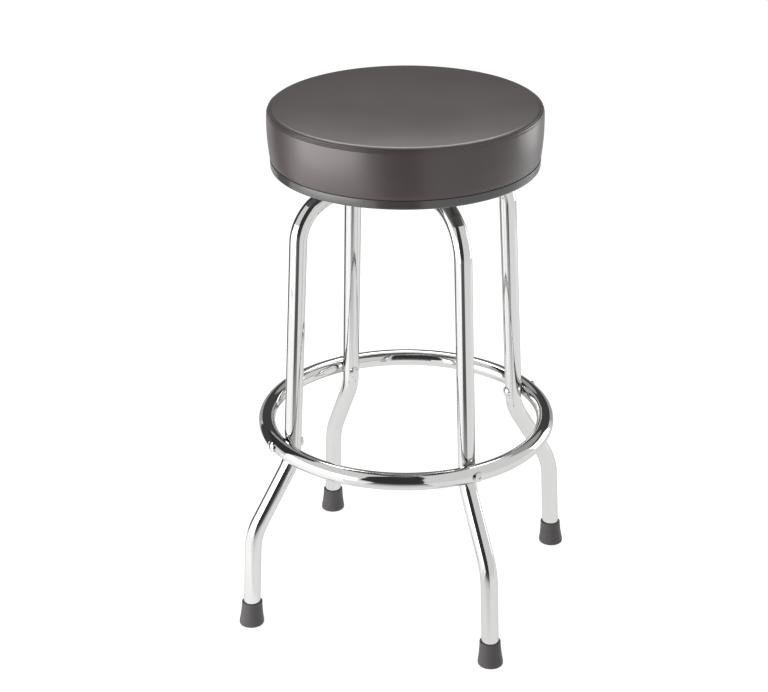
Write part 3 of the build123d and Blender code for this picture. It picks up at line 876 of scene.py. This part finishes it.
screws = setOut(
    "ring_screws", ringScrewMesh(), chromePlate, perLeg, headSeat, ring["height"], spinAxis=(1, 0, 0), seed=5)
dressed(screws, "frame", "chrome_screw", "ring_bolts")

# Domed nuts inside the legs: low and wide, with a skirt that reaches the tube at their sides
capNut = {"radius": 7.0, "skirt": 1.1, "height": 4.5, "rim": 2.3, "sides": 72}


def capNutMesh():
    dome = domeLine(capNut["radius"], capNut["height"], capNut["rim"])
    skirt = [Vector((0, -capNut["skirt"])), Vector((capNut["radius"], -capNut["skirt"]))]
    return outwards(meshFromRings("capNut", turnedRings(skirt + dome, capNut["sides"]), 30))


nutMesh = capNutMesh()
nutMesh.transform(Matrix.Rotation(pi, 4, "Z"))        # the dome points in to the stool's middle
nuts = setOut(
    "ring_cap_nuts_chromed", nutMesh, chromePlate, perLeg, nutSeat, ring["height"],
    spinAxis=(1, 0, 0), seed=9)
dressed(nuts, "frame", "chrome_screw", "ring_cap_nuts")

# Bolts, washers and nuts that hold the lower swivel plate to the tubes
boltSpread = 50.0 * sqrt(2)
crest = legs["crownHeight"] + legs["radius"]
frameBolt = {"shank": 3.0, "head": 7.0, "headHeight": 3.3, "rim": 0.5, "plate": 2.0, "length": 30.0}
bolts = setOut(
    "frame_bolts_zinc", boltMesh("frameBolt", frameBolt), brightZinc, perLeg, boltSpread,
    crest + frameBolt["plate"])
dressed(bolts, "frame", "zinc_steel", "frame_bolts")

frameWasher = {"hole": 3.3, "rim": 8.0, "thickness": 0.8, "edge": 0.2, "sides": 64}
tubeBase = legs["crownHeight"] - legs["radius"]


def washerMesh():
    hole, rim, deep, edge = (frameWasher[k] for k in ("hole", "rim", "thickness", "edge"))
    outline = [
        (hole, 0), (rim - edge, 0), (rim, -edge), (rim, edge - deep), (rim - edge, -deep), (hole, -deep)]
    return meshFromRings("frameWasher", turnedRings(outline, frameWasher["sides"]), 30, loop=True)


washers = setOut("frame_washers_zinc", washerMesh(), brightZinc, perLeg, boltSpread, tubeBase)
dressed(washers, "frame", "zinc_steel", "frame_washers")

frameNut = {"width": 10.0, "height": 3.0, "bore": 3.05, "chamfer": 0.4, "flatEdge": 0.1, "sides": 72}


def hexRing(height, limit):
    # a ring of the hexagon with its corners turned off at a round radius
    points = []
    for i in range(frameNut["sides"]):
        angle = 2 * pi * i / frameNut["sides"]
        flat = frameNut["width"] / 2 / cos((angle + pi / 6) % (pi / 3) - pi / 6)
        radius = min(flat, limit)
        points.append((radius * cos(angle), radius * sin(angle), height))
    return points


def frameNutMesh():
    high, chamfer, bore = (frameNut[k] for k in ("height", "chamfer", "bore"))
    corner = frameNut["width"] / sqrt(3)
    face = frameNut["width"] / 2 - frameNut["flatEdge"]
    outside = [hexRing(*r) for r in ((-high, face), (-high + chamfer, corner), (-chamfer, corner), (0, face))]
    inside = turnedRings([(bore, 0), (bore, -high)], frameNut["sides"])
    return meshFromRings("frameNut", outside + inside, 30, loop=True)


nutsBelow = setOut(
    "frame_nuts_zinc", frameNutMesh(), brightZinc, perLeg, boltSpread, tubeBase - frameWasher["thickness"],
    spinAxis=(0, 0, 1), seed=3)
dressed(nutsBelow, "frame", "zinc_steel", "frame_nuts")

# Bolts that hold the upper plate and the pan to the board, heads down
seatBolt = {"shank": 3.0, "head": 6.0, "headHeight": 3.6, "rim": 0.5, "length": 14.0}
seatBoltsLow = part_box("seat_bolts")[0].z / mm
seatBoltMesh = boltMesh("seatBolt", seatBolt)
seatBoltMesh.transform(Matrix.Rotation(pi, 4, "X"))
seatBolts = setOut(
    "seat_bolts_zinc", seatBoltMesh, brightZinc, perLeg, boltSpread, seatBoltsLow + seatBolt["headHeight"])
dressed(seatBolts, "seat", "zinc_steel", "seat_bolts")

# Bearing balls
balls = {"radius": 3.175, "trackRadius": 41.0, "count": 16, "sides": 32}
ballsLow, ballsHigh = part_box("bearing_balls")
ballLine = arcLine((0, 0), balls["radius"], -pi / 2, pi / 2, balls["sides"] // 2)
ballLine[0].x = ballLine[-1].x = 0.0
ballMesh = meshFromRings("ball", turnedRings(ballLine, balls["sides"]))
ballRow = setOut(
    "bearing_balls_ground", ballMesh, groundSteel, balls["count"], balls["trackRadius"],
    (ballsLow.z + ballsHigh.z) / 2 / mm, firstAngle=0.0)
dressed(ballRow, "ball_ring", "bearing_steel", "bearing_balls")

# Staples in the cover's hem: flat wire bent to a bridge with two legs
staple = {
    "length": 10.0, "leg": 9.0, "width": 1.2, "thickness": 0.7, "bend": 1.0, "count": 24, "radius": 157.5}
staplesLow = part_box("cover_staples")[0].z / mm


def stapleMesh():
    leg, bend, deep = staple["leg"], staple["bend"], staple["thickness"] / 2
    half = staple["length"] / 2 - deep
    wide = staple["width"] / 2
    middle = roundCorners([(-half, leg, 0), (-half, deep, bend), (half, deep, bend), (half, leg, 0)], 5)
    rings = []
    for a, b in zip(beside(middle, deep), beside(middle, -deep)):
        rings.append([(wide, a.x, a.y), (-wide, a.x, a.y), (-wide, b.x, b.y), (wide, b.x, b.y)])
    ends = [[sum((Vector(p) for p in rings[i]), Vector()) / 4] for i in (0, -1)]
    return meshFromRings("staple", [ends[0]] + rings + [ends[1]], 40)


staples = setOut(
    "cover_staples_wire", stapleMesh(), brightZinc, staple["count"], staple["radius"], staplesLow,
    firstAngle=180.0 / staple["count"])
dressed(staples, "seat", "staple_wire", "cover_staples")
print("screws, nuts, balls and staples set out")


# Pressed plates and other single parts keep their own shape, with their seams closed and their bends smoothed
plates = {"weld": 0.002, "sharpAngle": 28}


def smoothCopy(node, body, slotName, finish):
    builder = bmesh.new()
    builder.from_mesh(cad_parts[node].data)
    bmesh.ops.remove_doubles(builder, verts=builder.verts, dist=plates["weld"] * mm)
    mesh = meshOf(builder, node)
    mesh.shade_smooth()
    mesh.set_sharp_from_angle(angle=radians(plates["sharpAngle"]))
    return dressed(addPiece(node + "_finished", mesh, finish), body, slotName, node)


smoothCopy("seat_board", "seat", "plywood", birchPlywood)
for node, body, slotName in (
        ("tee_nuts", "seat", "zinc_steel"), ("swivel_upper_plate", "seat", "zinc_steel"),
        ("ball_cage", "ball_ring", "bearing_steel"), ("swivel_lower_plate", "frame", "zinc_steel"),
        ("pivot_rivet", "frame", "zinc_steel"), ("pivot_washer", "frame", "zinc_steel")):
    smoothCopy(node, body, slotName, brightZinc)
print("swivel plates and board finished")


# Camera: where the photograph was taken from, in degrees and mm
shot = {
    "distance": 2540.9, "height": 1537.2, "azimuth": 17.378, "yaw": -0.682, "pitch": 24.557, "roll": -0.418,
    "lens": 94.39, "sensor": 36.0}


def placeCamera():
    yaw, pitch, roll = (radians(shot[k]) for k in ("yaw", "pitch", "roll"))
    level = Vector((cos(yaw), -sin(yaw), 0))
    ahead = Vector((sin(yaw) * cos(pitch), cos(yaw) * cos(pitch), -sin(pitch)))
    above = Vector((sin(yaw) * sin(pitch), cos(yaw) * sin(pitch), cos(pitch)))
    right = level * cos(roll) + above * sin(roll)
    up = above * cos(roll) - level * sin(roll)
    turn = Matrix.Rotation(radians(shot["azimuth"]), 3, "Z")
    pose = Matrix([turn @ right, turn @ up, turn @ -ahead]).transposed().to_4x4()
    pose.translation = turn @ Vector((0, -shot["distance"], shot["height"])) * mm
    data = bpy.data.cameras.new("photoCamera")
    data.sensor_fit = "HORIZONTAL"
    data.sensor_width = shot["sensor"]
    data.lens = shot["lens"]
    data.clip_end = 100
    scene.camera = linked("photoCamera", data)
    scene.camera.matrix_world = pose


placeCamera()


# Studio, in metres and in degrees round the stool from the camera's side: white paper in a white surround,
# with a softbox low on the left, one low on the right and one above behind
studio = {"paper": "#bebebe", "paperGlow": 0.76, "paperSize": 14.0, "surround": "#ffffff", "ambient": 0.52}
softboxes = {
    "key": {
        "angle": -64, "distance": 1.6, "low": 0.03, "width": 1.85, "height": 0.9, "power": 24.5, "aim": 0.5},
    "rim": {"angle": 117, "distance": 1.7, "low": 0.1, "width": 0.8, "height": 0.85, "power": 6, "aim": 0.5},
    "top": {
        "angle": 180, "distance": 1.15, "low": 1.68, "width": 1.2, "height": 0.42, "power": 11.5,
        "aim": 0.73}}
# Painted reflections: glowing sheets that show in gloss alone and stand in for the light and shade round the
# stool:
# a dim floor and a dark end on the camera's side, a dark gap above the back of the paper with a paler one
# over it, a dark gap back left and darkness over the key softbox, a greyer floor behind and a brighter one
# before the key.
# A row is an arc: distance, height, first and last angle
paintedReflections = {
    "cameraFloor": {"level": 0.15, "fade": (0.3, 1.1), "rows": [
        (0.3, 0.002, -31, 21), (3.6, 0.002, -22, 12)]},
    "cameraEnd": {"level": 0.05, "fade": (0.0, 0.1), "rows": [
        (3.6, 0.002, -22, 12), (3.6, 0.9, -33, 13), (3.6, 3.0, -33, 13), (2.2, 3.9, -40, 20),
        (0.3, 3.9, -80, 66)]},
    "backGap": {"level": 0.08, "fade": (0.0, 0.1), "rows": [(2.6, 0.8, 112, 248), (2.6, 1.85, 112, 248)]},
    "backHigh": {"level": 0.5, "fade": (0.0, 0.1), "rows": [(2.6, 1.85, 112, 248), (2.6, 3.2, 112, 248)]},
    "leftGap": {"level": 0.08, "fade": (0.0, 0.1), "rows": [
        (0.5, 0.002, 234, 248), (1.9, 0.002, 224, 250), (1.9, 1.1, 224, 250)]},
    "keySurround": {"level": 0.05, "fade": (0.0, 0.1), "rows": [
        (1.85, 0.55, 250, 264), (1.85, 1.05, 224, 263), (1.85, 1.5, 212, 260), (1.85, 2.2, 212, 251),
        (1.85, 2.9, 214, 244)]},
    "backFloor": {"level": 0.6, "fade": (0.5, 1.7), "rows": [
        (0.5, 0.002, 113, 247), (2.6, 0.002, 140, 220), (2.6, 0.8, 140, 220)]},
    "keyFloor": {"level": 1.6, "fade": (0.15, 0.45), "rows": [
        (0.2, 0.003, 262, 318), (1.5, 0.003, 262, 318)]}}
arcSteps = 24


def fromCamera(angle, distance, height):
    # a place at this angle to the right of the camera's side of the stool
    around = radians(shot["azimuth"] - 90 + angle)
    return Vector((distance * cos(around), distance * sin(around), height))


def hangSoftbox(name, box):
    data = bpy.data.lights.new(name, "AREA")
    data.shape = "RECTANGLE"
    data.size, data.size_y = box["width"], box["height"]
    data.energy = box["power"]
    lamp = linked(name, data)
    lamp.location = fromCamera(box["angle"], box["distance"], box["low"] + box["height"] / 2)
    aim = Vector((0, 0, box["aim"])) - lamp.location
    lamp.rotation_euler = aim.to_track_quat("-Z", "Y").to_euler()
    lamp.visible_camera = False


def seenDirectly(tree):
    # 1 for rays that show the background: seen by the camera, in metal or through glass
    path = addNode(tree, "ShaderNodeLightPath").outputs
    either = worked(tree, "MAXIMUM", path["Is Camera Ray"], path["Is Glossy Ray"])
    return worked(tree, "MAXIMUM", either, path["Is Transmission Ray"])


def bareFinish(name):
    # a material with an empty node tree
    finish = bpy.data.materials.new(name)
    finish.use_nodes = True
    finish.node_tree.nodes.clear()
    return finish, finish.node_tree


def layPaper():
    finish, tree = bareFinish("backgroundPaper")
    diffuse = addNode(tree, "ShaderNodeBsdfDiffuse", {"Color": linear(studio["paper"])}).outputs[0]
    lift = worked(tree, "MULTIPLY", seenDirectly(tree), studio["paperGlow"])
    glow = addNode(tree, "ShaderNodeEmission", {"Strength": lift}).outputs[0]
    both = addNode(tree, "ShaderNodeAddShader", {0: diffuse, 1: glow}).outputs[0]
    addNode(tree, "ShaderNodeOutputMaterial", {"Surface": both})
    half = studio["paperSize"] / 2
    corners = [(-half, -half, 0), (half, -half, 0), (half, half, 0), (-half, half, 0)]
    mesh = bpy.data.meshes.new("paper")
    mesh.from_pydata(corners, [], [(0, 1, 2, 3)])
    addPiece("paperFloor", mesh, finish)


def paintedReflectionFinish(level, fade):
    # a painted reflection: an even glow, seen in gloss alone, that fades in with its distance from the stool
    finish, tree = bareFinish("paintedReflectionSheet")
    place = addNode(tree, "ShaderNodeTexCoord").outputs["Object"]
    away = addNode(tree, "ShaderNodeVectorMath", {0: place}, operation="LENGTH").outputs["Value"]
    clear = addNode(tree, "ShaderNodeBsdfTransparent").outputs[0]
    glow = addNode(tree, "ShaderNodeEmission", {"Strength": level}).outputs[0]
    mixed = addNode(tree, "ShaderNodeMixShader", {0: ranged(tree, away, *fade), 1: clear, 2: glow})
    addNode(tree, "ShaderNodeOutputMaterial", {"Surface": mixed.outputs[0]})
    return finish


def hangPaintedReflection(name, level, fade, rows):
    # a sheet of painted reflection, hidden from the camera, from diffuse light and from shadows
    vertices = []
    for distance, height, first, last in rows:
        angles = [first + (last - first) * i / arcSteps for i in range(arcSteps + 1)]
        vertices += [fromCamera(angle, distance, height) for angle in angles]
    faces = []
    for row in range(len(rows) - 1):
        low = row * (arcSteps + 1)
        high = low + arcSteps + 1
        faces += [(low + i, low + i + 1, high + i + 1, high + i) for i in range(arcSteps)]
    mesh = bpy.data.meshes.new(name)
    mesh.from_pydata(vertices, [], faces)
    stretch = addPiece(name, mesh, paintedReflectionFinish(level, fade))
    stretch.visible_camera = False
    stretch.visible_diffuse = False
    stretch.visible_shadow = False


def lightWorld():
    world = bpy.data.worlds.new("studio")
    scene.world = world
    world.use_nodes = True
    tree = world.node_tree
    setInputs(tree, tree.nodes["Background"], {
        "Color": linear(studio["surround"]),
        "Strength": ranged(tree, seenDirectly(tree), 0.0, 1.0, studio["ambient"])})


for name, box in softboxes.items():
    hangSoftbox(name, box)
layPaper()
for name, stretch in paintedReflections.items():
    hangPaintedReflection(name, **stretch)
lightWorld()
print("studio lit")
